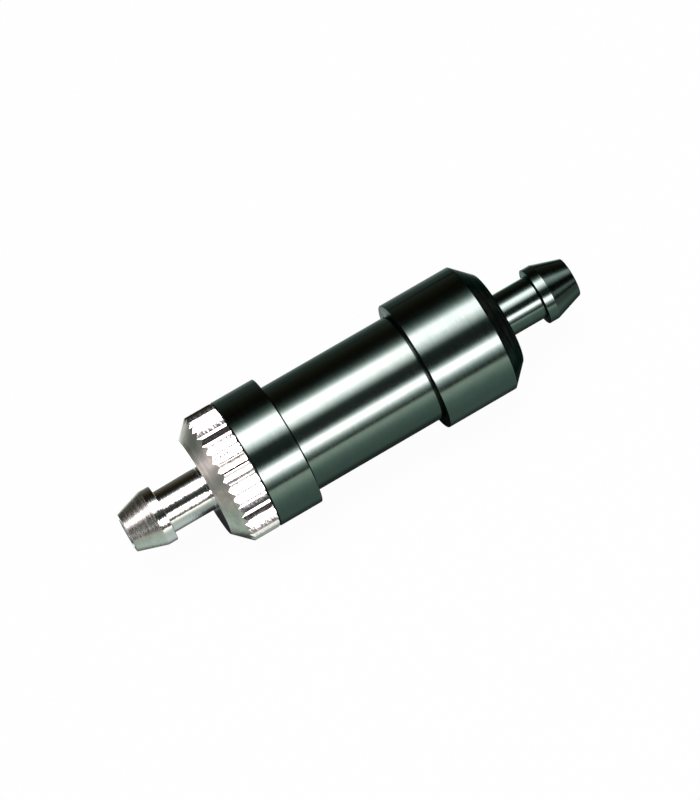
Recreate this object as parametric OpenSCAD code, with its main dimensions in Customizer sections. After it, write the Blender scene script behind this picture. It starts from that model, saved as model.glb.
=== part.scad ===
// Inline fuel filter for small engines: an aluminium housing with a screw-on
// end cap, a cleanable wire-cloth element inside, and a hose nipple at each end.
// X runs along the filter, from the cap end (-X) to the head end (+X).
// The origin is at the middle of the overall length, on the axis.

/* [Hose nipples] */
// Diameter of the small end of each barb
tip_d = 3.6; // [3.0:0.1:4.2]
// Largest diameter of each barb
barb_d = 5.25; // [4.8:0.05:6.0]
// Length of the tapered part of each barb
barb_taper = 2.6; // [2.0:0.1:4.0]
// Length of the straight land behind the taper
barb_land = 0.9; // [0.6:0.05:1.5]
// Diameter of the neck that the hose grips
neck_d = 4.0; // [3.6:0.1:4.6]
// Bore through each nipple
nipple_bore_d = 2.5; // [1.8:0.1:3.0]
// Length of neck on the cap side
cap_neck = 4.1; // [3.0:0.05:6.0]
// Length of neck on the head side
head_neck = 3.8; // [3.0:0.05:6.0]

/* [End cap] */
// Diameter over the knurl, the same as the collar and the head
flange_d = 12.0; // [11.0:0.1:14.0]
// Length of the 45 degree chamfer in front of the knurl
cap_chamfer = 1.5; // [0.8:0.05:2.0]
// Length of the knurled band
knurl_len = 2.5; // [2.0:0.1:4.0]
// Number of teeth round the knurl
knurl_teeth = 39; // [30:1:48]
// Depth of the knurl's grooves
knurl_depth = 0.35; // [0.2:0.01:0.5]

/* [Housing] */
// Length of the collar that the cap screws into
collar_len = 4.1; // [3.5:0.05:5.0]
// Diameter of the barrel
barrel_d = 10.0; // [9.6:0.1:10.6]
// Length of the barrel
barrel_len = 12.65; // [11.0:0.05:16.0]
// Length of the head's cylinder
head_len = 6.65; // [5.5:0.05:8.0]
// Length of the head's 45 degree chamfer
head_chamfer = 1.65; // [1.0:0.05:2.0]
// Bore of the chamber that holds the element
chamber_d = 8.0; // [7.6:0.1:8.4]

/* [Thread and seal] */
// Pitch of the right-hand thread
pitch = 0.75; // [0.5:0.25:1.0]
// Root diameter of the thread in the collar
thread_d = 8.96; // [8.8:0.02:9.2]
// Length of the cap's spigot
spigot_len = 3.65; // [3.2:0.05:3.8]
// Section diameter of the O-ring
o_ring_section = 1.0; // [0.8:0.05:1.2]
// Inside diameter of the O-ring
o_ring_id = 8.48; // [8.4:0.02:8.6]

/* [Element] */
// Outside diameter of the perforated core
core_d = 6.0; // [5.6:0.1:6.2]
// Wall of the perforated core
core_wall = 0.4; // [0.3:0.05:0.6]
// Length of the perforated core
core_len = 10.7; // [9.0:0.1:11.5]
// Diameter of the core's holes
core_hole_d = 1.0; // [0.6:0.1:1.2]
// Rows of holes along the core
core_rows = 6; // [4:1:7]
// Thickness of the wire-cloth sleeve
mesh_t = 0.14; // [0.1:0.02:0.2]
// Wire diameter of the spring
spring_wire = 0.5; // [0.4:0.05:0.6]
// Mean diameter of the spring
spring_d = 5.5; // [5.0:0.1:6.0]
// Turns of the spring, with its closed ends
spring_turns = 6; // [5:1:8]

/* [Hidden] */
$fn = 72;
slack = 0.02;
barb_len = barb_taper + barb_land;
overall = 2 * barb_len + cap_neck + cap_chamfer + knurl_len + collar_len
  + barrel_len + head_len + head_chamfer + head_neck;

// Stations along X, from the cap's tip to the head's tip
x_cap_tip = -overall / 2;
x_cap_barb = x_cap_tip + barb_len;
x_cap_face = x_cap_barb + cap_neck;
x_knurl = x_cap_face + cap_chamfer;
x_joint = x_knurl + knurl_len;
x_barrel = x_joint + collar_len;
x_head = x_barrel + barrel_len;
x_head_chamfer = x_head + head_len;
x_head_face = x_head_chamfer + head_chamfer;
x_head_barb = x_head_face + head_neck;
x_head_tip = x_head_barb + barb_len;

// Radii
r_tip = tip_d / 2;
r_barb = barb_d / 2;
r_neck = neck_d / 2;
r_bore = nipple_bore_d / 2;
r_flange = flange_d / 2;
r_barrel = barrel_d / 2;
r_chamber = chamber_d / 2;
r_groove = thread_d / 2;
r_spigot = r_chamber;
r_seal_neck = o_ring_id / 2 - slack;
r_seal_seat = o_ring_id / 2 + o_ring_section + 2 * slack;
r_core = core_d / 2;
r_core_bore = r_core - core_wall;
r_mesh = r_core + slack + mesh_t;
r_socket = r_mesh + slack;

// Inside stations
x_seal_seat = x_joint + o_ring_section + 2.25 * slack;
x_thread_end = x_barrel - 0.425;
x_spigot_end = x_joint + spigot_len - slack;
x_recess = x_spigot_end - 0.9;
x_shoulder = x_head + 4.4;
gasket_t = 0.5;
x_collar_nose = x_recess + gasket_t + 2 * slack;
x_collar_flange = x_spigot_end + 2.5 * slack;
collar_flange_t = 0.8;
x_core = x_collar_flange + 0.42;
x_core_end = x_core + core_len;
x_disc = x_core_end + slack;
disc_t = 0.8;
x_disc_end = x_disc + disc_t;
skirt_len = 0.8;

// Thread form: 60 degree flanks with flat crests
ridge_h = 0.37;
ridge_sink = 0.12;
crest = 0.155;
flank = tan(30);
turn_steps = 36;
x_helix = x_seal_seat + 0.36;

// Turns a profile of [x, r] points about the X axis.
module lathe(profile) {
  rotate([0, 90, 0])
    rotate_extrude()
      polygon([for (p = profile) [p[1], p[0]]]);
}

// A bar of round section along X from x1 to x2.
module rod(x1, x2, r) {
  translate([x1, 0, 0])
    rotate([0, 90, 0])
      cylinder(r = r, h = x2 - x1);
}

// How far a ridge stands out at step i of n, as a share of its height. It starts
// and stops under the surface, and rises out of it over a fifth of a turn.
function rise(i, n) = min(1, 0.2 * i - 0.3, 0.2 * (n - i) - 0.3);

// The four corners of a ridge's section, t turns along the helix.
function ridge_ring(t, share, x0, r0, side) =
  let (half_top = crest / 2, half_base = half_top + flank * (ridge_h + ridge_sink))
  let (base = r0 - side * ridge_sink, top = r0 + side * ridge_h * share)
  [for (c = [[-half_base, base], [half_base, base], [half_top, top], [-half_top, top]])
    [x0 + pitch * t + c[0], c[1] * cos(360 * t), c[1] * sin(360 * t)]];

// A right-hand helical ridge on a cylinder of radius r0, from turn t1 to turn t2:
// outwards if side is 1, inwards if it is -1.
module ridge(x0, t1, t2, r0, side) {
  n = round((t2 - t1) * turn_steps);
  points = [for (i = [0 : n])
    for (p = ridge_ring(t1 + i / turn_steps, rise(i, n), x0, r0, side)) p];
  sides = [for (i = [0 : n - 1]) for (k = [0 : 3])
    let (a = 4 * i + k, b = 4 * i + (k + 1) % 4)
    for (t = [[a, b, b + 4], [a, b + 4, a + 4]]) t];
  ends = [[3, 2, 1], [3, 1, 0], [4 * n, 4 * n + 1, 4 * n + 2], [4 * n, 4 * n + 2, 4 * n + 3]];
  faces = concat(sides, ends);
  polyhedron(points, side < 0 ? faces : [for (f = faces) [f[2], f[1], f[0]]]);
}

// Turned from bar: collar, barrel, head and the inlet nipple in one piece
module housing() {
  color([0.20, 0.26, 0.24])
    union() {
      lathe([
        [x_joint + slack, r_seal_seat],
        [x_joint + slack, r_flange],
        [x_barrel, r_flange],
        [x_barrel, r_barrel],
        [x_head, r_barrel],
        [x_head, r_flange],
        [x_head_chamfer, r_flange],
        [x_head_face, r_flange - head_chamfer],
        [x_head_face, r_neck],
        [x_head_barb, r_neck],
        [x_head_barb, r_barb],
        [x_head_barb + barb_land, r_barb],
        [x_head_tip, r_tip],
        [x_head_tip, r_bore],
        [x_shoulder + 1.1, r_bore],
        [x_shoulder, r_bore + 1.05],
        [x_shoulder, r_chamber],
        [x_thread_end, r_chamber],
        [x_thread_end, r_groove],
        [x_seal_seat, r_groove],
        [x_seal_seat, r_seal_seat]
      ]);
      ridge(x_helix, 0, 2.4, r_groove, -1);
    }
}

// The knurled band: straight V teeth, with a bevel cut across both ends
module knurled_band() {
  intersection() {
    lathe([
      [x_cap_face, r_neck],
      [x_cap_face, r_flange - cap_chamfer],
      [x_knurl + 0.3, r_flange + 0.3],
      [x_joint - slack - 0.42, r_flange + 0.3],
      [x_joint - slack, r_flange - 0.12],
      [x_joint - slack, r_neck]
    ]);
    translate([x_cap_face - 1, 0, 0])
      rotate([0, 90, 0])
        linear_extrude(cap_chamfer + knurl_len + 2)
          polygon([for (i = [0 : 2 * knurl_teeth - 1])
            let (a = 180 * i / knurl_teeth, r = r_flange - (i % 2) * knurl_depth)
            [r * cos(a), r * sin(a)]]);
  }
}

// Knurled cap with the outlet nipple and the threaded spigot in one piece
module end_cap() {
  color([0.82, 0.83, 0.82])
    difference() {
      union() {
        knurled_band();
        lathe([
          [x_cap_tip, 0],
          [x_cap_tip, r_tip],
          [x_cap_barb - barb_land, r_barb],
          [x_cap_barb, r_barb],
          [x_cap_barb, r_neck],
          [x_joint - 0.5, r_neck],
          [x_joint - 0.5, r_seal_neck],
          [x_seal_seat - slack, r_seal_neck],
          [x_seal_seat - slack, r_spigot],
          [x_spigot_end, r_spigot],
          [x_spigot_end, 0]
        ]);
        ridge(x_helix + pitch / 2, -0.33, 1.7, r_spigot, 1);
      }
      rod(x_cap_tip - 1, x_spigot_end, r_bore);
      lathe([
        [x_recess - 1.1, 0],
        [x_recess - 1.1, r_bore],
        [x_recess, r_bore + 0.65],
        [x_recess, r_spigot - 0.7],
        [x_spigot_end + 1, r_spigot - 0.7],
        [x_spigot_end + 1, 0]
      ]);
    }
}

// Seals the cap in the mouth of the collar
module cap_o_ring() {
  color([0.05, 0.05, 0.05])
    translate([x_joint + o_ring_section / 2, 0, 0])
      rotate([0, 90, 0])
        rotate_extrude()
          translate([(o_ring_id + o_ring_section) / 2, 0])
            circle(d = o_ring_section, $fn = 40);
}

// Flat washer that seals the element's open end in the spigot
module element_gasket() {
  color([0.10, 0.10, 0.11])
    lathe([
      [x_recess, r_bore + 0.65],
      [x_recess, r_spigot - 0.7 - slack],
      [x_recess + gasket_t, r_spigot - 0.7 - slack],
      [x_recess + gasket_t, r_bore + 0.65]
    ]);
}

// Ferrule at the element's open end, which slides in the chamber
module element_collar() {
  color([0.72, 0.57, 0.27])
    lathe([
      [x_collar_nose, r_bore + 0.85],
      [x_collar_nose, r_spigot - 0.9],
      [x_collar_flange, r_spigot - 0.9],
      [x_collar_flange, r_chamber - 4 * slack],
      [x_collar_flange + collar_flange_t, r_chamber - 4 * slack],
      [x_collar_flange + collar_flange_t, r_socket + 0.32],
      [x_collar_flange + collar_flange_t + skirt_len, r_socket + 0.32],
      [x_collar_flange + collar_flange_t + skirt_len, r_socket],
      [x_core - slack, r_socket],
      [x_core - slack, r_bore + 0.85]
    ]);
}

// Perforated tube that holds the wire cloth in shape
module element_core() {
  first = x_core + 2.1;
  step = (core_len - 3.6) / (core_rows - 1);
  color([0.62, 0.63, 0.64])
    difference() {
      rod(x_core, x_core_end, r_core);
      rod(x_core - 1, x_core_end + 1, r_core_bore);
      for (row = [0 : core_rows - 1])
        for (k = [0 : 2])
          translate([first + row * step, 0, 0])
            rotate([60 * k + 30 * (row % 2), 0, 0])
              cylinder(d = core_hole_d, h = 2 * r_core + 2, center = true, $fn = 20);
    }
}

// Sleeve of stainless wire cloth round the core
module element_mesh() {
  color([0.66, 0.67, 0.66])
    lathe([
      [x_core, r_core + slack],
      [x_core, r_mesh],
      [x_core_end, r_mesh],
      [x_core_end, r_core + slack]
    ]);
}

// Cup that closes the element's far end and pilots the spring
module element_end_disc() {
  r_pilot = (spring_d - spring_wire) / 2 - 0.12;
  color([0.72, 0.57, 0.27])
    lathe([
      [x_disc_end + 0.6, 0],
      [x_disc_end + 0.6, r_pilot - 0.15],
      [x_disc_end + 0.45, r_pilot],
      [x_disc_end, r_pilot],
      [x_disc_end, r_socket + 0.32],
      [x_disc - skirt_len, r_socket + 0.32],
      [x_disc - skirt_len, r_socket],
      [x_disc, r_socket],
      [x_disc, 0]
    ]);
}

// Axial place of the spring's wire, from 0 to 1: the end turns lie closed.
function coil_place(t, turns, closed) =
  t < 1 ? closed * t
  : t > turns - 1 ? 1 - closed * (turns - t)
  : closed + (1 - 2 * closed) * (t - 1) / (turns - 2);

// Holds the element against the cap
module element_spring() {
  r_wire = spring_wire / 2;
  sides = 8;
  coil_steps = 24;
  n = spring_turns * coil_steps;
  x1 = x_disc_end + r_wire + slack;
  x2 = x_shoulder - r_wire - slack;
  closed = (spring_wire + slack) / (x2 - x1);
  points = [for (i = [0 : n]) for (k = [0 : sides - 1])
    let (t = i / coil_steps, a = 360 * t, w = 360 * k / sides)
    let (r = spring_d / 2 + r_wire * cos(w))
    let (x = x1 + (x2 - x1) * coil_place(t, spring_turns, closed) + r_wire * sin(w))
    [x, r * cos(a), r * sin(a)]];
  skin = [for (i = [0 : n - 1]) for (k = [0 : sides - 1])
    let (a = sides * i + k, b = sides * i + (k + 1) % sides)
    for (t = [[a, b, b + sides], [a, b + sides, a + sides]]) t];
  start = [for (k = [1 : sides - 2]) [0, k + 1, k]];
  stop = [for (k = [1 : sides - 2]) [sides * n, sides * n + k, sides * n + k + 1]];
  color([0.74, 0.75, 0.76])
    polyhedron(points, concat(skin, start, stop));
}

housing();
end_cap();
cap_o_ring();
element_gasket();
element_collar();
element_core();
element_mesh();
element_end_disc();
element_spring();
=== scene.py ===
"""Looks of the inline fuel filter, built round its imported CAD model.

Lengths are in millimetres until a mesh is made, and repeat the CAD source's sizes from
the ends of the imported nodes. Only what the floor's material reads is in metres.
"""

import math

import bpy
import numpy as np
from mathutils import Matrix, Vector


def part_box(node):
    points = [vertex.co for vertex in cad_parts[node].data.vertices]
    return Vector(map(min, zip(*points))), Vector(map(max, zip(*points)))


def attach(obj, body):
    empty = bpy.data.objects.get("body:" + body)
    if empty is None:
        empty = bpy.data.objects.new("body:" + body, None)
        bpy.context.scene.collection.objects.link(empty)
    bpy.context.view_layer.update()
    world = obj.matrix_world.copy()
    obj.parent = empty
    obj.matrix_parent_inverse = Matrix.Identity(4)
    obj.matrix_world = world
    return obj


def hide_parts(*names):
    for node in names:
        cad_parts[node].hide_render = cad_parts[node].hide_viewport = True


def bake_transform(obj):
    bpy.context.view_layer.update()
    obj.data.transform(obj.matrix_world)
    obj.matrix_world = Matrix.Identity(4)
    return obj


MM = 0.001

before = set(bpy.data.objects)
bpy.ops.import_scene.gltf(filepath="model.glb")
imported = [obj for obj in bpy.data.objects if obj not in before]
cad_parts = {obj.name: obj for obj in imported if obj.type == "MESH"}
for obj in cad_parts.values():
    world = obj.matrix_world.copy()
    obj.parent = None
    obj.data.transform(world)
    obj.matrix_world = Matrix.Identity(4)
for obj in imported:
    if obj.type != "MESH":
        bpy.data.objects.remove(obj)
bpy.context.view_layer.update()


def span(node):
    """The low and high X of a CAD node, in millimetres."""
    low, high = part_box(node)
    return low.x / MM, high.x / MM


# ---------------------------------------------------------------- sizes

SLACK = 0.02

# Both nipples, and the outside of the housing and the cap.
R_TIP, R_BARB, R_NECK, R_BORE = 1.8, 2.625, 2.0, 1.25
BARB_TAPER, BARB_LAND = 2.6, 0.9
BORE_CHAMFER = 0.12
CAP_NECK, HEAD_NECK = 4.1, 3.8
R_FLANGE, R_BARREL = 6.0, 5.0
CAP_CHAMFER, HEAD_CHAMFER = 1.5, 1.65
COLLAR_LEN, BARREL_LEN, HEAD_LEN = 4.1, 12.65, 6.65
KNURL_TEETH, KNURL_DEPTH = 39, 0.35
KNURL_PHASE = math.radians(125.3)

# Shallow grooves where the barrel meets the collar and the head.
RELIEF, RELIEF_FLOOR, RELIEF_EDGE = 0.10, 0.16, 0.18

# The inside.
R_CHAMBER, SPIGOT_WALL = 4.0, 0.7
R_RECESS = R_CHAMBER - SPIGOT_WALL
R_GROOVE, R_SEAL_NECK, R_SEAL_SEAT = 4.48, 4.22, 5.28
R_O_RING, R_GASKET_HOLE = 4.74, R_BORE + 0.65
FUNNEL_LEN, R_FUNNEL = 1.1, R_BORE + 1.05
PITCH, RIDGE_H, RIDGE_SINK, RIDGE_CREST = 0.75, 0.37, 0.12, 0.155
HOUSING_TURNS, CAP_TURNS = (0.0, 2.4), (-0.33, 1.7)
SEAT_DEPTH, THREAD_MARGIN, RECESS_DEPTH = 1.0, 0.425, 0.9
SHOULDER_DEPTH, HELIX_LEAD = 4.4, 0.36

X_TIP, X_SPIGOT_END = span("end_cap")
X_MOUTH, X_HEAD_TIP = span("housing")
X_JOINT = X_MOUTH - SLACK
X_CAP_BARB = X_TIP + BARB_TAPER + BARB_LAND
X_CAP_FACE = X_CAP_BARB + CAP_NECK
X_BARREL = X_JOINT + COLLAR_LEN
X_HEAD = X_BARREL + BARREL_LEN
X_HEAD_CHAMFER = X_HEAD + HEAD_LEN
X_HEAD_FACE = X_HEAD_CHAMFER + HEAD_CHAMFER
X_HEAD_BARB = X_HEAD_FACE + HEAD_NECK
X_SEAL_SEAT = X_JOINT + SEAT_DEPTH + 2.25 * SLACK
X_THREAD_END = X_BARREL - THREAD_MARGIN
X_RECESS = X_SPIGOT_END - RECESS_DEPTH
X_SHOULDER = X_HEAD + SHOULDER_DEPTH
X_HELIX = X_SEAL_SEAT + HELIX_LEAD

# The element.
R_CORE, MESH_T = 3.0, 0.14
R_MESH = R_CORE + SLACK + MESH_T
R_SOCKET = R_MESH + SLACK
R_SKIRT = R_SOCKET + 0.32
R_COLLAR_HOLE, R_COLLAR_PILOT = R_BORE + 0.85, R_CHAMBER - 0.9
R_COLLAR_FLANGE = R_CHAMBER - 4 * SLACK
COLLAR_FLOOR, COLLAR_FLANGE = 0.4, 0.8
SOCKET_DEPTH, DISC_FLOOR = 0.8, 0.8
R_PILOT, PILOT_CHAMFER = 2.38, 0.15
WIRES_AROUND, HOOPS = 60, 32
SPRING_R, SPRING_WIRE, SPRING_TURNS = 2.75, 0.25, 6

# How finely the meshes are cut.
ARC_STEPS, ARC_SUPPORT = 4, 0.02
OUTER_SEGMENTS, INNER_SEGMENTS = 256, 160
RIDGE_STEPS, COIL_STEPS = 72, 48
O_RING_SIDES, COIL_SIDES, WIRE_SIDES = 28, 14, 5
SHARP, KNURL_SHARP, WIRE_SHARP = 35.0, 28.0, 80.0


# ---------------------------------------------------------------- meshes

def rounded(points, closed=True):
    """A profile of (x, r, fillet) corners as (x, r) points, with an arc at each corner
    and a support point just off each arc, which keeps the flats shaded flat."""
    out, n = [], len(points)
    for i, (x, r, fillet) in enumerate(points):
        here = np.array((x, r), float)
        if not closed and i in (0, n - 1):
            out.append(here)
            continue
        before = np.array(points[i - 1][:2], float)
        after = np.array(points[(i + 1) % n][:2], float)
        d1, d2 = before - here, after - here
        l1, l2 = np.linalg.norm(d1), np.linalg.norm(d2)
        d1, d2 = d1 / l1, d2 / l2
        half = math.acos(max(-1.0, min(1.0, float(d1 @ d2)))) / 2
        reach = min(fillet / math.tan(half), 0.4 * l1, 0.4 * l2)
        radius = reach * math.tan(half)
        centre = here + (d1 + d2) / np.linalg.norm(d1 + d2) * radius / math.sin(half)
        a, b = here + d1 * reach, here + d2 * reach
        out.append(a + d1 * min(ARC_SUPPORT, 0.2 * (l1 - reach)))
        u, v = a - centre, b - centre
        turn = math.pi - 2 * half
        for k in range(ARC_STEPS + 1):
            t = turn * k / ARC_STEPS
            out.append(centre + (u * math.sin(turn - t) + v * math.sin(t)) / math.sin(turn))
        out.append(b + d2 * min(ARC_SUPPORT, 0.2 * (l2 - reach)))
    return out


def new_mesh(name, verts, faces, material, sharp=SHARP):
    """A mesh object from millimetre points, smooth but for edges over sharp degrees."""
    mesh = bpy.data.meshes.new(name)
    mesh.from_pydata([tuple(v) for v in np.asarray(verts, float) * MM], [], faces)
    mesh.validate()
    mesh.shade_smooth()
    mesh.set_sharp_from_angle(angle=math.radians(sharp))
    mesh.materials.append(material)
    obj = bpy.data.objects.new(name, mesh)
    bpy.context.scene.collection.objects.link(obj)
    return obj


def outward(verts, faces):
    """The faces, turned so that the closed surface has a positive volume."""
    v = np.asarray(verts, float)
    total = 0.0
    for f in faces:
        for k in range(1, len(f) - 1):
            total += np.dot(v[f[0]], np.cross(v[f[k]], v[f[k + 1]]))
    return faces if total > 0 else [tuple(reversed(f)) for f in faces]


def sweep(rings, loop=False):
    """A closed shell over rings of equally many points, with a cap at each end unless it
    is a loop."""
    count, width = len(rings), len(rings[0])
    verts = [p for ring in rings for p in ring]
    faces = []
    for i in range(count if loop else count - 1):
        j = (i + 1) % count
        for k in range(width):
            m = (k + 1) % width
            faces.append((i * width + k, i * width + m, j * width + m, j * width + k))
    if not loop:
        faces.append(tuple(range(width))[::-1])
        faces.append(tuple(range((count - 1) * width, count * width)))
    return verts, outward(verts, faces)


def revolve(profiles, angles):
    """Turns one (x, r) profile per angle about X. A profile that starts and ends on the
    axis gets a single vertex there; any other is a closed loop."""
    rows = len(profiles[0])
    on_axis = abs(profiles[0][0][1]) < 1e-9
    cols = len(angles)
    verts, faces = [], []
    for p, a in zip(profiles, angles):
        c, s = math.cos(a), math.sin(a)
        inner = p[1:-1] if on_axis else p
        verts += [(x, r * c, r * s) for x, r in inner]
    width = rows - 2 if on_axis else rows
    for i in range(cols):
        j = (i + 1) % cols
        for k in range(width - 1 if on_axis else width):
            m = (k + 1) % width
            faces.append((i * width + k, i * width + m, j * width + m, j * width + k))
    if on_axis:
        first, last = len(verts), len(verts) + 1
        verts += [(profiles[0][0][0], 0, 0), (profiles[0][-1][0], 0, 0)]
        for i in range(cols):
            j = (i + 1) % cols
            faces.append((first, i * width, j * width))
            faces.append((last, j * width + width - 1, i * width + width - 1))
    return verts, outward(verts, faces)


def lathe(points, closed=True, segments=OUTER_SEGMENTS):
    """A turned solid from (x, r, fillet) corners."""
    angles = [math.tau * i / segments for i in range(segments)]
    return revolve([rounded(points, closed)] * segments, angles)


def joined(*shells):
    """Several (verts, faces) as one."""
    verts, faces = [], []
    for v, f in shells:
        base = len(verts)
        verts += list(v)
        faces += [tuple(i + base for i in face) for face in f]
    return verts, faces


def wire_section(x, r, angle, thick, sides):
    """A circle of radius thick about (x, r), in the plane through the axis at angle."""
    ring = []
    for k in range(sides):
        w = math.tau * k / sides
        out = r + thick * math.cos(w)
        ring.append((x + thick * math.sin(w), out * math.cos(angle), out * math.sin(angle)))
    return ring


def ridge(x0, turns, r0, side):
    """A right-hand thread ridge with rounded crests on a cylinder of radius r0, outwards
    where side is 1 and inwards where it is -1. It sinks into the cylinder at both ends."""
    t1, t2 = turns
    half_top = RIDGE_CREST / 2
    half_base = half_top + math.tan(math.radians(30)) * (RIDGE_H + RIDGE_SINK)
    rise, buried = 0.1, 0.3
    drop, shoulder, inset = 0.03, 0.018, 0.02
    n = round((t2 - t1) * RIDGE_STEPS)
    rings = []
    for i in range(n + 1):
        t = t1 + i / RIDGE_STEPS
        share = max(-buried, min(1.0, rise * i - buried, rise * (n - i) - buried))
        base, top = r0 - side * RIDGE_SINK, r0 + side * RIDGE_H * share
        soft = drop * side
        section = [(-half_base, base), (half_base, base),
                   (half_top + shoulder, top - soft), (half_top - inset, top),
                   (-half_top + inset, top), (-half_top - shoulder, top - soft)]
        c, s = math.cos(math.tau * t), math.sin(math.tau * t)
        rings.append([(x0 + PITCH * t + x, r * c, r * s) for x, r in section])
    return sweep(rings)


# ---------------------------------------------------------------- materials

WHITE = (1.0, 1.0, 1.0)


class Tree:
    """A short hand for building the nodes of a material or of the world."""

    def __init__(self, owner, output="ShaderNodeOutputMaterial"):
        owner.use_nodes = True
        self.owner = owner
        self.nodes = owner.node_tree.nodes
        self.links = owner.node_tree.links
        self.nodes.clear()
        self.output = self.add(output)

    def feed(self, socket, value):
        """Links a node's output to a socket, or puts a number or a colour on it."""
        if isinstance(value, bpy.types.NodeSocket):
            self.links.new(value, socket)
        elif isinstance(value, tuple):
            socket.default_value = (*value, 1.0)
        else:
            socket.default_value = value

    def add(self, kind, feeds=None, **values):
        """A new node, with its properties set and its inputs fed."""
        node = self.nodes.new(kind)
        for key, value in values.items():
            setattr(node, key, value)
        for key, value in (feeds or {}).items():
            self.feed(node.inputs[key], value)
        return node

    def surface(self, shader):
        self.feed(self.output.inputs["Surface"], shader)

    def coordinates(self, kind):
        return self.add("ShaderNodeTexCoord").outputs[kind]

    def split(self, vector):
        return self.add("ShaderNodeSeparateXYZ", {0: vector}).outputs

    def math(self, operation, *values):
        return self.add("ShaderNodeMath", dict(enumerate(values)), operation=operation).outputs[0]

    def map(self, fac, low, high, from_low=0.0, from_high=1.0):
        return self.add("ShaderNodeMapRange", {
            "Value": fac, "From Min": from_low, "From Max": from_high,
            "To Min": low, "To Max": high}).outputs["Result"]

    def ramp(self, fac, stops):
        """A colour from (place, colour) stops."""
        node = self.add("ShaderNodeValToRGB", {"Fac": fac})
        while len(node.color_ramp.elements) < len(stops):
            node.color_ramp.elements.new(0.5)
        for element, (place, colour) in zip(node.color_ramp.elements, stops):
            element.position = place
            element.color = (*colour, 1.0)
        return node.outputs["Color"]

    def curve(self, value, low, high, stops):
        """A strength from (quantity, strength) stops between low and high."""
        top = max(strength for quantity, strength in stops)
        greys = [((quantity - low) / (high - low), (strength / top,) * 3)
                 for quantity, strength in stops]
        return self.math("MULTIPLY", self.ramp(self.map(value, 0.0, 1.0, low, high), greys), top)

    def mix(self, fac, a, b, data_type="RGBA"):
        return self.add("ShaderNodeMix", {"Factor": fac, "A": a, "B": b},
                        data_type=data_type).outputs["Result"]

    def emission(self, strength, colour=WHITE):
        return self.add("ShaderNodeEmission", {"Strength": strength, "Color": colour}).outputs[0]

    def seen(self, by_camera, by_others):
        """One shader for the camera's own rays and another for every other ray."""
        camera_ray = self.add("ShaderNodeLightPath").outputs["Is Camera Ray"]
        return self.add("ShaderNodeMixShader", {
            "Fac": camera_ray, 1: by_others, 2: by_camera}).outputs[0]


class PieceTree(Tree):
    """A piece's material: one Principled shader, over coordinates in millimetres."""

    def __init__(self, name):
        super().__init__(bpy.data.materials.new(name))
        self.shader = self.add("ShaderNodeBsdfPrincipled")
        self.surface(self.shader.outputs["BSDF"])
        self.vector = self.add("ShaderNodeVectorMath", {
            0: self.coordinates("Object"), "Scale": 1 / MM}, operation="SCALE").outputs[0]

    def shade(self, **values):
        """Feeds the shader's inputs, named with _ for each space."""
        for key, value in values.items():
            self.feed(self.shader.inputs[key.replace("_", " ")], value)

    def noise(self, scale, detail=2.0, roughness=0.5, vector=None):
        return self.add("ShaderNodeTexNoise", {
            "Vector": vector or self.vector, "Scale": scale, "Detail": detail,
            "Roughness": roughness}).outputs["Fac"]

    def bump(self, height, distance_mm, normal=None):
        feeds = {"Height": height, "Strength": 1.0, "Distance": distance_mm * MM}
        if normal is not None:
            feeds["Normal"] = normal
        return self.add("ShaderNodeBump", feeds).outputs["Normal"]

    def grooves(self, parts, scale):
        """Noise that runs round the axis as fine tool marks."""
        y2 = self.math("MULTIPLY", parts["Y"], parts["Y"])
        z2 = self.math("MULTIPLY", parts["Z"], parts["Z"])
        radius = self.math("SQRT", self.math("ADD", y2, z2))
        stretched = self.add("ShaderNodeCombineXYZ", {
            "X": parts["X"], "Y": radius, "Z": self.math("MULTIPLY", parts["Z"], 0.05)})
        return self.noise(scale, 3.0, 0.6, stretched.outputs[0])

    def chatter(self, parts):
        """Noise in short marks across the axis, where the tool trembled."""
        squeezed = self.add("ShaderNodeCombineXYZ", {
            "X": self.math("MULTIPLY", parts["X"], 4.0), "Y": parts["Y"], "Z": parts["Z"]})
        return self.noise(1.6, 1.0, 0.4, squeezed.outputs[0])


PATCHES, SPECKS, PEEL, GRAINS = 0.9, 22.0, 7.0, 13.0
DUST_COLOUR = (0.30, 0.34, 0.32)


def turned_metal(name, colour, dark, roughness, groove_mm, groove_scale=9.0, spread=0.05,
                 anisotropy=0.0, peel_mm=0.0004, chatter_mm=0.0, dust=0.0,
                 edge_tint=WHITE):
    """Metal from the lathe: tool marks round the axis, small specks, an uneven sheen."""
    t = PieceTree(name)
    parts = t.split(t.vector)
    marks = t.grooves(parts, groove_scale)
    patches = t.noise(PATCHES, 3.0)
    specks = t.noise(SPECKS, 2.0, 0.7)
    peel = t.noise(PEEL, 3.0, 0.6)
    tone = t.math("ADD", t.math("MULTIPLY", marks, 0.5), t.math("MULTIPLY", patches, 0.5))
    base = t.ramp(tone, [(0.36, dark), (0.60, colour)])
    if dust:
        grains = t.map(t.noise(GRAINS, 1.0), 0.0, dust, 0.66, 0.74)
        base = t.mix(grains, base, DUST_COLOUR)
    uneven = t.math("ADD", t.math("MULTIPLY", marks, 0.55), t.math("MULTIPLY", specks, 0.45))
    rough = t.map(uneven, roughness - spread, roughness + spread, 0.3, 0.7)
    normal = t.bump(peel, peel_mm)
    if chatter_mm:
        normal = t.bump(t.chatter(parts), chatter_mm, normal)
    t.shade(Base_Color=base, Roughness=rough, Normal=t.bump(marks, groove_mm, normal),
            Metallic=1.0, Anisotropic=anisotropy, Specular_Tint=edge_tint)
    if anisotropy:
        tangent = t.add("ShaderNodeTangent", direction_type="RADIAL", axis="X")
        t.shade(Tangent=tangent.outputs[0], Anisotropic_Rotation=0.25)
    return t.owner


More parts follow.
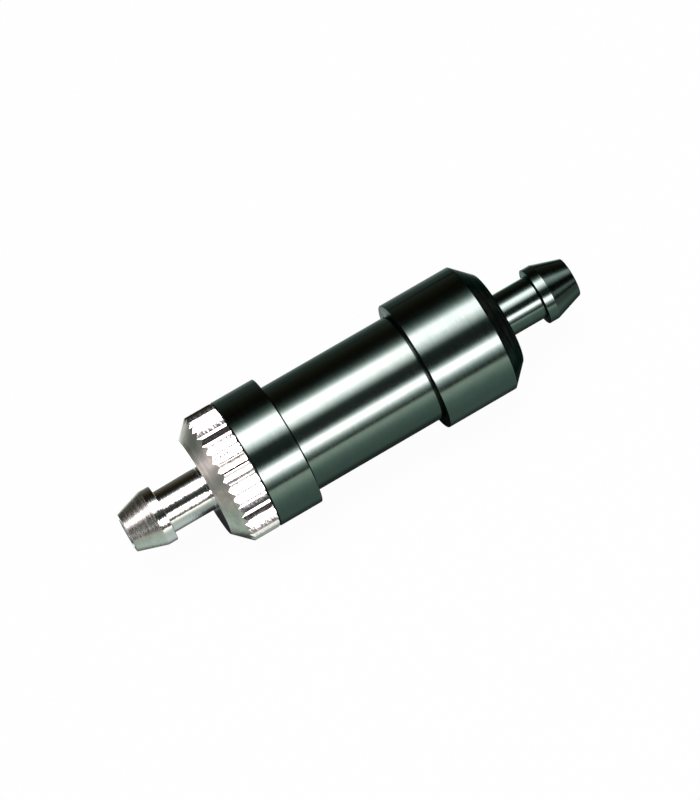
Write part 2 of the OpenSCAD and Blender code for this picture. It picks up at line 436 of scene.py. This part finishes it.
def drawn_steel(name, colour, dark, roughness, scale):
    """Steel tube or wire: drawing marks and a slight tarnish."""
    t = PieceTree(name)
    patches = t.noise(scale * 0.2, 3.0)
    fine = t.noise(scale * 4.0, 2.0, 0.6)
    t.shade(Base_Color=t.ramp(patches, [(0.35, dark), (0.62, colour)]),
            Roughness=t.map(fine, roughness - 0.06, roughness + 0.06, 0.3, 0.7),
            Normal=t.bump(fine, 0.002), Metallic=1.0)
    return t.owner


def nitrile_rubber():
    """Moulded rubber: near black, matt, with a fine grain and a faint bloom."""
    t = PieceTree("nitrile_rubber")
    bloom = t.noise(1.6, 4.0)
    grain = t.noise(18.0, 3.0, 0.6)
    t.shade(Base_Color=t.ramp(bloom, [(0.35, (0.016, 0.016, 0.017)),
                                      (0.70, (0.040, 0.040, 0.041))]),
            Roughness=t.map(grain, 0.45, 0.62, 0.3, 0.7), Normal=t.bump(grain, 0.004))
    return t.owner


ANODISED = {"spread": 0.04, "peel_mm": 0.0018, "dust": 0.35, "edge_tint": (0.75, 0.90, 0.85)}

gunmetal = turned_metal("dark_anodised_turned", (0.120, 0.192, 0.162), (0.106, 0.172, 0.145),
                        roughness=0.135, groove_mm=0.0005, **ANODISED)
gunmetal_barrel = turned_metal("dark_anodised_barrel", (0.122, 0.194, 0.163),
                               (0.108, 0.174, 0.146), roughness=0.155, groove_mm=0.0005,
                               **ANODISED)
# A darker, rougher copy of the anodised metal with a darker edge tint: painted shade on the
# head's chamfer and face, the barb's back, the steps and the groove floors.
gunmetal_matt_painted_shade = turned_metal("dark_anodised_matt", (0.038, 0.060, 0.050), (0.007, 0.013, 0.010),
                             roughness=0.30, groove_mm=0.005, spread=0.12, anisotropy=0.75,
                             peel_mm=0.014, dust=0.4, edge_tint=(0.35, 0.42, 0.40))
silver = turned_metal("bright_turned", (0.83, 0.90, 0.86), (0.77, 0.84, 0.80),
                      roughness=0.085, groove_mm=0.0014, groove_scale=7.0, spread=0.03,
                      chatter_mm=0.014)
silver_knurled = turned_metal("bright_knurled", (0.83, 0.90, 0.86), (0.75, 0.82, 0.78),
                              roughness=0.13, groove_mm=0.0014, groove_scale=7.0,
                              spread=0.04, chatter_mm=0.035)
silver_tooled = turned_metal("bright_tooled", (0.70, 0.80, 0.71), (0.57, 0.65, 0.58),
                             roughness=0.26, groove_mm=0.006, groove_scale=6.0,
                             spread=0.10, peel_mm=0.003, chatter_mm=0.010)
silver_matt = turned_metal("bright_chamfer", (0.74, 0.83, 0.72), (0.44, 0.51, 0.43),
                           roughness=0.40, groove_mm=0.003, spread=0.08, anisotropy=0.85,
                           peel_mm=0.016)
brass = turned_metal("brass_turned", (0.80, 0.60, 0.28), (0.68, 0.49, 0.21),
                     roughness=0.24, groove_mm=0.002)
steel_tube = drawn_steel("stainless_tube", (0.66, 0.66, 0.65), (0.52, 0.52, 0.51), 0.30, 4.0)
steel_wire = drawn_steel("stainless_wire", (0.74, 0.74, 0.72), (0.60, 0.60, 0.58), 0.26, 8.0)
spring_steel = drawn_steel("spring_wire", (0.70, 0.71, 0.72), (0.52, 0.53, 0.54), 0.22, 6.0)
rubber = nitrile_rubber()


def paint(obj, material, test):
    """Gives a material to each face whose place (x, r) and normal's x pass the test."""
    index = obj.data.materials.find(material.name)
    for face in obj.data.polygons:
        c, n = face.center / MM, face.normal
        if test(c.x, math.hypot(c.y, c.z), n.x):
            face.material_index = index


# ---------------------------------------------------------------- the housing

def nipple_profile(x_face, x_barb, x_tip):
    """Corners of a nipple from its face out to the tip and back along the bore's mouth."""
    way = 1 if x_tip > x_face else -1
    return [
        (x_face, R_NECK, 0.04),
        (x_barb, R_NECK, 0.10),
        (x_barb, R_BARB, 0.05),
        (x_barb + way * BARB_LAND, R_BARB, 0.10),
        (x_tip, R_TIP, 0.08),
        (x_tip, R_BORE + BORE_CHAMFER, 0.03),
        (x_tip - way * BORE_CHAMFER, R_BORE, 0.03),
    ]


verts, faces = joined(lathe([
    (X_MOUTH, R_SEAL_SEAT, 0.05),
    (X_MOUTH, R_FLANGE, 0.07),
    (X_BARREL, R_FLANGE, 0.05),
    (X_BARREL, R_BARREL - RELIEF, 0.02),
    (X_BARREL + RELIEF_FLOOR, R_BARREL - RELIEF, 0.02),
    (X_BARREL + RELIEF_EDGE, R_BARREL, 0.02),
    (X_HEAD - RELIEF_EDGE, R_BARREL, 0.02),
    (X_HEAD - RELIEF_FLOOR, R_BARREL - RELIEF, 0.02),
    (X_HEAD, R_BARREL - RELIEF, 0.02),
    (X_HEAD, R_FLANGE, 0.05),
    (X_HEAD_CHAMFER, R_FLANGE, 0.06),
    (X_HEAD_FACE, R_FLANGE - HEAD_CHAMFER, 0.08),
    *nipple_profile(X_HEAD_FACE, X_HEAD_BARB, X_HEAD_TIP),
    (X_SHOULDER + FUNNEL_LEN, R_BORE, 0.05),
    (X_SHOULDER, R_FUNNEL, 0.05),
    (X_SHOULDER, R_CHAMBER, 0.15),
    (X_THREAD_END, R_CHAMBER, 0.05),
    (X_THREAD_END, R_GROOVE, 0.05),
    (X_SEAL_SEAT, R_GROOVE, 0.05),
    (X_SEAL_SEAT, R_SEAL_SEAT, 0.05),
]), ridge(X_HELIX, HOUSING_TURNS, R_GROOVE, -1))
housing = new_mesh("housing_turned", verts, faces, gunmetal)
housing.data.materials.append(gunmetal_matt_painted_shade)
housing.data.materials.append(gunmetal_barrel)

# Painted shade, the darker copy, on the head's chamfer and face; the barrel's own finish;
# painted shade on the barb's back and on the steps with the grooves at their feet.
paint(housing, gunmetal_matt_painted_shade, lambda x, r, nx: (
    X_HEAD_CHAMFER - 0.01 < x < X_HEAD_FACE + 0.02 and r > R_NECK + 0.15))
paint(housing, gunmetal_barrel, lambda x, r, nx: (
    X_BARREL + 0.17 < x < X_HEAD - 0.17 and r > R_BARREL - 0.05))
paint(housing, gunmetal_matt_painted_shade, lambda x, r, nx: (
    X_HEAD_BARB - 0.1 < x < X_HEAD_BARB + 0.06 and nx < -0.5))
paint(housing, gunmetal_matt_painted_shade, lambda x, r, nx: (
    R_BARREL - 0.5 < r and x < X_HEAD_CHAMFER - 0.2
    and (abs(nx) > 0.5 or r < R_BARREL - 0.02)))
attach(housing, "housing")
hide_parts("housing")


# ---------------------------------------------------------------- the end cap

FLANK_SHARE = 0.94
TOOTH_BLUR = np.linspace(-0.022, 0.022, 9)
TOOTH_STEPS = (0.0, 0.02, 0.045, 0.15, 0.28, 0.385, 0.41, 0.432, 0.455,
               0.5, 0.545, 0.568, 0.59, 0.615, 0.72, 0.85, 0.955, 0.98)


def tooth(u):
    """How far the knurl stands up at u from one groove, 0, to the next, 1: two flanks
    and a narrow crest, blurred a little."""
    def sharp(v):
        v = abs((v % 1.0) - 0.5) * 2
        return min(1.0, (1.0 - v) / FLANK_SHARE)
    return float(np.mean([sharp(u + w) for w in TOOTH_BLUR]))


def cap_profile(r_tooth):
    """The end cap's closed profile where the knurl's surface is at radius r_tooth."""
    r_face = R_FLANGE - CAP_CHAMFER
    back = max(0.03, r_tooth - (R_FLANGE - 0.12))
    x_back = X_JOINT - SLACK
    return rounded([
        *nipple_profile(X_CAP_FACE, X_CAP_BARB, X_TIP)[::-1],
        (X_CAP_FACE, r_face, 0.05),
        (X_CAP_FACE + r_tooth - r_face, r_tooth, 0.02),
        (x_back - back, r_tooth, 0.02),
        (x_back, r_tooth - back, 0.01),
        (x_back, R_SEAL_NECK, 0.05),
        (X_SEAL_SEAT - SLACK, R_SEAL_NECK, 0.05),
        (X_SEAL_SEAT - SLACK, R_CHAMBER, 0.05),
        (X_SPIGOT_END, R_CHAMBER, 0.12),
        (X_SPIGOT_END, R_RECESS, 0.05),
        (X_RECESS, R_RECESS, 0.05),
        (X_RECESS, R_GASKET_HOLE, 0.04),
        (X_RECESS - FUNNEL_LEN, R_BORE, 0.04),
    ])


shapes = {u: cap_profile(R_FLANGE - KNURL_DEPTH * (1 - tooth(u))) for u in TOOTH_STEPS}
places = [(k, u) for k in range(KNURL_TEETH) for u in TOOTH_STEPS]
verts, faces = joined(
    revolve([shapes[u] for k, u in places],
            [KNURL_PHASE + math.tau * (k + u) / KNURL_TEETH for k, u in places]),
    ridge(X_HELIX + PITCH / 2, CAP_TURNS, R_CHAMBER, 1))
end_cap = new_mesh("end_cap_knurled", verts, faces, silver, KNURL_SHARP)
end_cap.data.materials.append(silver_matt)
end_cap.data.materials.append(silver_tooled)
end_cap.data.materials.append(silver_knurled)

# The knurl, the barb's cone, and then the chamfer, which takes the knurl's front ends.
paint(end_cap, silver_knurled, lambda x, r, nx: (
    X_CAP_FACE + 0.03 < x < X_JOINT and r > R_FLANGE - KNURL_DEPTH - 0.05))
paint(end_cap, silver_tooled, lambda x, r, nx: (
    x < X_CAP_BARB - BARB_LAND and r > R_BORE + 0.2))
paint(end_cap, silver_matt, lambda x, r, nx: (
    X_CAP_FACE + 0.03 < x < X_JOINT - 0.6
    and r > R_FLANGE - CAP_CHAMFER - 0.02 and nx < -0.3))
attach(end_cap, "cap")
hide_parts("end_cap")


# ---------------------------------------------------------------- seals

def o_ring_mesh(x, r, thick):
    """A ring of radius r about the axis, with a round section of radius thick."""
    return sweep([wire_section(x, r, math.tau * i / INNER_SEGMENTS, thick, O_RING_SIDES)
                  for i in range(INNER_SEGMENTS)], loop=True)


low, high = span("cap_o_ring")
o_ring = new_mesh("cap_o_ring_moulded",
                  *o_ring_mesh((low + high) / 2, R_O_RING, (high - low) / 2), rubber)
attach(o_ring, "cap")
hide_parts("cap_o_ring")

low, high = span("element_gasket")
gasket = new_mesh("element_gasket_cut", *lathe([
    (low, R_GASKET_HOLE, 0.04),
    (low, R_RECESS - SLACK, 0.04),
    (high, R_RECESS - SLACK, 0.04),
    (high, R_GASKET_HOLE, 0.04),
], segments=INNER_SEGMENTS), rubber)
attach(gasket, "cap")
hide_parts("element_gasket")


# ---------------------------------------------------------------- the element

low, high = span("element_collar")
x_flange = X_SPIGOT_END + 2.5 * SLACK
collar = new_mesh("element_collar_turned", *lathe([
    (low, R_COLLAR_HOLE, 0.05),
    (low, R_COLLAR_PILOT, 0.06),
    (x_flange, R_COLLAR_PILOT, 0.04),
    (x_flange, R_COLLAR_FLANGE, 0.08),
    (x_flange + COLLAR_FLANGE, R_COLLAR_FLANGE, 0.08),
    (x_flange + COLLAR_FLANGE, R_SKIRT, 0.05),
    (high, R_SKIRT, 0.08),
    (high, R_SOCKET, 0.05),
    (x_flange + COLLAR_FLOOR, R_SOCKET, 0.03),
    (x_flange + COLLAR_FLOOR, R_COLLAR_HOLE, 0.05),
], segments=INNER_SEGMENTS), brass)
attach(collar, "element")
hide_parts("element_collar")

low, high = span("element_end_disc")
x_disc = low + SOCKET_DEPTH
disc = new_mesh("element_end_disc_turned", *lathe([
    (high, 0.0, 0.0),
    (high, R_PILOT - PILOT_CHAMFER, 0.05),
    (high - PILOT_CHAMFER, R_PILOT, 0.05),
    (x_disc + DISC_FLOOR, R_PILOT, 0.05),
    (x_disc + DISC_FLOOR, R_SKIRT, 0.10),
    (low, R_SKIRT, 0.08),
    (low, R_SOCKET, 0.05),
    (x_disc, R_SOCKET, 0.03),
    (x_disc, 0.0, 0.0),
], closed=False, segments=INNER_SEGMENTS), brass)
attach(disc, "element")
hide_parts("element_end_disc")

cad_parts["element_core"].data.materials.clear()
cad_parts["element_core"].data.materials.append(steel_tube)


def woven_sleeve(x1, x2, r, thick):
    """Plain weave round the core, of wires of radius thick: hoops and long wires that
    pass over and under each other, with three stations from one crossing to the next."""
    shells = []
    for j in range(HOOPS):
        x, count = x1 + (j + 1) * ((x2 - x1) / (HOOPS + 1)), WIRES_AROUND * 3
        shells.append(sweep([
            wire_section(x, r + thick * math.cos(math.pi * (i / 3 + j)),
                         math.tau * i / count, thick, WIRE_SIDES)
            for i in range(count)], loop=True))
    count = (HOOPS + 1) * 3
    for i in range(WIRES_AROUND):
        a, rings = math.tau * i / WIRES_AROUND, []
        for j in range(count + 1):
            x = x1 + (x2 - x1) * j / count
            middle = r - thick * math.cos(math.pi * (i + j / 3 - 1))
            ring = []
            for k in range(WIRE_SIDES):
                w = math.tau * k / WIRE_SIDES
                out, side = middle + thick * math.cos(w), thick * math.sin(w)
                ring.append((x, out * math.cos(a) - side * math.sin(a),
                             out * math.sin(a) + side * math.cos(a)))
            rings.append(ring)
        shells.append(sweep(rings))
    return joined(*shells)


low, high = span("element_mesh")
sleeve = new_mesh("element_mesh_woven", *woven_sleeve(
    low + SLACK, high - SLACK, R_CORE + SLACK + MESH_T / 2, MESH_T / 4),
    steel_wire, WIRE_SHARP)
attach(sleeve, "element")
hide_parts("element_mesh")


# ---------------------------------------------------------------- the spring

def coil(x1, x2, radius, wire, turns):
    """A compression spring with closed ends between x1 and x2."""
    closed = (wire * 2 + SLACK) / (x2 - x1)
    rings = []
    for i in range(turns * COIL_STEPS + 1):
        t = i / COIL_STEPS
        if t < 1:
            place = closed * t
        elif t > turns - 1:
            place = 1 - closed * (turns - t)
        else:
            place = closed + (1 - 2 * closed) * (t - 1) / (turns - 2)
        rings.append(wire_section(x1 + (x2 - x1) * place, radius, math.tau * t, wire,
                                  COIL_SIDES))
    return sweep(rings)


low, high = span("element_spring")
spring = new_mesh("element_spring_coiled",
                  *coil(low + SPRING_WIRE, high - SPRING_WIRE, SPRING_R, SPRING_WIRE,
                        SPRING_TURNS), spring_steel)
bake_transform(spring)
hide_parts("element_spring")


# ---------------------------------------------------------------- camera

ELEVATION = math.radians(58.7)
ROLL = math.radians(30.07)
CAMERA_DISTANCE = 300.0
CAMERA_X = X_TIP - 15.2
AIM_X, AIM_UP = X_TIP + 22.13, 0.29
LENS, SENSOR = 159.5, 36.0
CLIP_NEAR, CLIP_FAR = 5.0, 20000.0

eye = Vector((CAMERA_X, -CAMERA_DISTANCE * math.cos(ELEVATION),
              CAMERA_DISTANCE * math.sin(ELEVATION)))
across = Vector((0.0, math.sin(ELEVATION), math.cos(ELEVATION)))
aim = Vector((AIM_X, 0, 0)) + across * AIM_UP
back = (eye - aim).normalized()
along = (Vector((1, 0, 0)) - back * back.x).normalized()
above = back.cross(along)
right = along * math.cos(ROLL) - above * math.sin(ROLL)
up = along * math.sin(ROLL) + above * math.cos(ROLL)
camera = bpy.data.objects.new("camera", bpy.data.cameras.new("camera"))
bpy.context.scene.collection.objects.link(camera)
camera.matrix_world = Matrix((
    (right.x, up.x, back.x, eye.x * MM),
    (right.y, up.y, back.y, eye.y * MM),
    (right.z, up.z, back.z, eye.z * MM),
    (0, 0, 0, 1)))
camera.data.sensor_width = SENSOR
camera.data.lens = LENS
camera.data.clip_start, camera.data.clip_end = CLIP_NEAR * MM, CLIP_FAR * MM
bpy.context.scene.camera = camera


# ---------------------------------------------------------------- studio

# Both softboxes reach the same strength. A spot's share of it sets its warmth.
STRIP_PEAK = 8.5
WARMTH_STOPS = [(0.0, (0.80, 1.0, 0.92)), (0.04, (1.02, 1.0, 1.01)), (0.12, (1.18, 1.0, 1.06)),
                (0.25, (1.34, 1.0, 1.11)), (0.5, (1.42, 1.0, 1.13))]
STRIP_PIECES = 12
NARROW_TO, WIDE_FROM = 14.0, 21.0

# (degrees up from the front, strength) round the axis, and (x, share) along it.
OVERHEAD_ROUND = [
    (48, 0.05), (66, 0.08), (69, 0.4), (72, 1.3), (76, 2.6), (80, 4.2), (84, 5.6), (88, 7.2),
    (93, STRIP_PEAK), (103, STRIP_PEAK), (107, 5.8), (110, 3.4), (113, 1.9), (117, 0.85),
    (121, 0.36), (126, 0.14), (132, 0.02)]
OVERHEAD_ALONG = [
    (-520, 0.0), (-300, 0.12), (-170, 0.75), (-80, 1.0), (40, 1.0), (50, 0.93), (66, 0.74),
    (75, 0.66), (200, 0.5), (290, 0.35), (420, 0.13), (520, 0.05)]
FRONT_ROUND = [
    (2, 0.05), (5, 0.22), (9, 0.6), (12.5, 1.2), (16, 2.35), (20, 4.8), (25, STRIP_PEAK),
    (32, STRIP_PEAK), (35, 5.2), (38, 2.3), (41, 0.7), (44, 0.13), (48, 0.02)]
FRONT_ALONG = [
    (-520, 0.0), (-300, 0.02), (-170, 0.2), (-90, 0.7), (-30, 1.0), (40, 1.0), (80, 0.88),
    (200, 0.7), (290, 0.35), (420, 0.08), (520, 0.05)]

END_PANEL_X, END_PANEL_SIZE, END_PANEL_LOW, END_PANEL_STRENGTH = -650, 900, -4, 0.22

# What the floor shows to rays that are not the camera's own, a glow of painted light with
# a painted shadow under the filter: strengths over Y, under the body and under the
# nipples, how much of the second applies over X, and the strength and tint of both
# together. Metres, but for the tint's shares of Y.
FLOOR_Y, FLOOR_X = 0.12, 0.08
BODY_PAINTED_GLOW_STOPS = [(-0.12, 1.25), (-0.045, 1.1), (-0.030, 0.80), (-0.018, 0.46), (-0.0085, 0.29),
              (-0.0070, 0.26), (-0.0058, 0.08), (-0.003, 0.02), (0.001, 0.02), (0.005, 1.5),
              (0.010, 1.5), (0.013, 0.4), (0.020, 0.28), (0.035, 0.12), (0.12, 0.10)]
NIPPLE_PAINTED_GLOW_STOPS = [(-0.12, 1.25), (-0.045, 1.0), (-0.030, 0.72), (-0.018, 0.52), (-0.011, 0.52),
                (-0.006, 0.56), (-0.004, 0.45), (-0.0028, 0.18), (0.003, 0.18), (0.005, 1.5),
                (0.010, 1.5), (0.013, 1.1), (0.020, 0.4), (0.035, 0.12), (0.12, 0.10)]
NIPPLE_SHARE_STOPS = [(-0.08, 1.0), (-0.0162, 1.0), (-0.0150, 0.0), (0.0150, 0.0),
                      (0.0162, 0.3), (0.08, 0.3)]
PAINTED_GLOW_X_STOPS = [(-0.08, 0.4), (-0.045, 0.45), (-0.032, 0.6), (-0.026, 1.0), (0.026, 1.0),
                 (0.032, 0.5), (0.045, 0.22), (0.08, 0.15)]
PAINTED_GLOW_TINTS = [(0.30, (1.16, 1.0, 0.95)), (0.44, (0.92, 1.0, 0.97)), (0.56, (1.04, 1.0, 1.0))]
FLOOR_GLOW, FLOOR_GREY = 0.97, (0.02, 0.02, 0.02)
FLOOR_Z, FLOOR_HALF = -R_FLANGE, 2500.0

# What the surroundings show to such rays, over the Z of a ray's direction.
WORLD_STOPS = [(0.0, (0.110, 0.095, 0.070)), (0.16, (0.055, 0.050, 0.042)),
               (0.36, (0.034, 0.022, 0.010)), (0.56, (0.010, 0.008, 0.005)),
               (0.72, (0.018, 0.016, 0.014)), (1.0, (0.02, 0.02, 0.02))]


def stage_mesh(name, corners, faces, material):
    """A stage piece from points in millimetres."""
    mesh = bpy.data.meshes.new(name)
    mesh.from_pydata([tuple(c * MM for c in corner) for corner in corners], [], faces)
    mesh.materials.append(material)
    obj = bpy.data.objects.new(name, mesh)
    bpy.context.scene.collection.objects.link(obj)
    return obj


def light_only(obj):
    """Hides a stage piece from the camera and lets light through it."""
    obj.visible_camera = False
    obj.visible_shadow = False


def in_shares(stops):
    """The stops with their places as shares of the way from the first to the last."""
    low, high = stops[0][0], stops[-1][0]
    return [((place - low) / (high - low), value) for place, value in stops]


def glow(name, round_stops, along_stops):
    """A softbox's face: its light falls off across it and along it as the stops say."""
    t = Tree(bpy.data.materials.new(name))
    parts = t.split(t.coordinates("UV"))
    strength = t.math("MULTIPLY", t.curve(parts["Y"], 0.0, 1.0, in_shares(round_stops)),
                      t.curve(parts["X"], 0.0, 1.0, in_shares(along_stops)))
    warmth = t.ramp(t.math("DIVIDE", strength, STRIP_PEAK), WARMTH_STOPS)
    t.surface(t.emission(strength, warmth))
    return t.owner


def softbox(name, round_stops, along_stops, distance, middle, narrowing):
    """A long curved softbox parallel to the filter. Towards the cap's nipple it narrows
    about its middle angle, to the share of its width that narrowing says."""
    a1, a2 = round_stops[0][0], round_stops[-1][0]
    x1, x2 = along_stops[0][0], along_stops[-1][0]
    stations = [(x1, narrowing), (NARROW_TO, narrowing), (WIDE_FROM, 1.0), (x2, 1.0)]
    verts, uvs = [], []
    for i in range(STRIP_PIECES + 1):
        for x, share in stations:
            a = math.radians(middle + (a1 + (a2 - a1) * i / STRIP_PIECES - middle) * share)
            verts.append((x, -distance * math.cos(a), distance * math.sin(a)))
            uvs.append(((x - x1) / (x2 - x1), i / STRIP_PIECES))
    faces = [(4 * i + k, 4 * i + k + 1, 4 * i + k + 5, 4 * i + k + 4)
             for i in range(STRIP_PIECES) for k in range(3)]
    box = stage_mesh(name, verts, faces, glow(name + "_glow", round_stops, along_stops))
    layer = box.data.uv_layers.new(name="UVMap")
    for loop, spot in zip(box.data.loops, layer.data):
        spot.uv = uvs[loop.vertex_index]
    light_only(box)


def end_panel():
    """A dim panel off the cap's end."""
    t = Tree(bpy.data.materials.new("softbox_end_glow"))
    t.surface(t.emission(END_PANEL_STRENGTH))
    x, size, low = END_PANEL_X, END_PANEL_SIZE, END_PANEL_LOW
    light_only(stage_mesh("softbox_end", [
        (x, size, low), (x, -size, low), (x, -size, size), (x, size, size)],
        [(0, 1, 2, 3)], t.owner))


def pale_floor_painted_glow():
    """A pale table: near white to the camera. To every other ray it glows with painted light,
    bright in front and in a band behind, with a painted shadow under the filter."""
    t = Tree(bpy.data.materials.new("pale_floor_painted_glow"))
    parts = t.split(t.coordinates("Object"))
    # The glow other rays see is painted light: a painted shadow under the filter and its nipples,
    # bright in front and in a band just behind.
    strength = t.math("MULTIPLY", t.mix(
        t.curve(parts["X"], -FLOOR_X, FLOOR_X, NIPPLE_SHARE_STOPS),
        t.curve(parts["Y"], -FLOOR_Y, FLOOR_Y, BODY_PAINTED_GLOW_STOPS),
        t.curve(parts["Y"], -FLOOR_Y, FLOOR_Y, NIPPLE_PAINTED_GLOW_STOPS), "FLOAT"),
        t.curve(parts["X"], -FLOOR_X, FLOOR_X, PAINTED_GLOW_X_STOPS))
    tint = t.ramp(t.map(parts["Y"], 0.0, 1.0, -FLOOR_Y, FLOOR_Y), PAINTED_GLOW_TINTS)
    white = t.add("ShaderNodeBsdfDiffuse", {"Color": FLOOR_GREY}).outputs[0]
    pale = t.add("ShaderNodeAddShader", {0: t.emission(FLOOR_GLOW), 1: white}).outputs[0]
    t.surface(t.seen(by_camera=pale, by_others=t.emission(strength, tint)))
    stage_mesh("floor", [
        (-FLOOR_HALF, -FLOOR_HALF, FLOOR_Z), (FLOOR_HALF, -FLOOR_HALF, FLOOR_Z),
        (FLOOR_HALF, FLOOR_HALF, FLOOR_Z), (-FLOOR_HALF, FLOOR_HALF, FLOOR_Z)],
        [(0, 1, 2, 3)], t.owner)


def surroundings():
    """Dim all round, and white to the camera."""
    world = bpy.data.worlds.new("studio")
    bpy.context.scene.world = world
    t = Tree(world, "ShaderNodeOutputWorld")
    height = t.split(t.coordinates("Generated"))["Z"]
    dim = t.add("ShaderNodeBackground", {"Color": t.ramp(height, WORLD_STOPS)}).outputs[0]
    white = t.add("ShaderNodeBackground", {"Color": WHITE}).outputs[0]
    t.surface(t.seen(by_camera=white, by_others=dim))


softbox("softbox_overhead", OVERHEAD_ROUND, OVERHEAD_ALONG, distance=420.0, middle=97.0,
        narrowing=0.81)
softbox("softbox_front", FRONT_ROUND, FRONT_ALONG, distance=480.0, middle=28.5,
        narrowing=0.68)
end_panel()
pale_floor_painted_glow()
surroundings()

bpy.context.scene.view_settings.view_transform = "Standard"
bpy.context.scene.view_settings.look = "None"
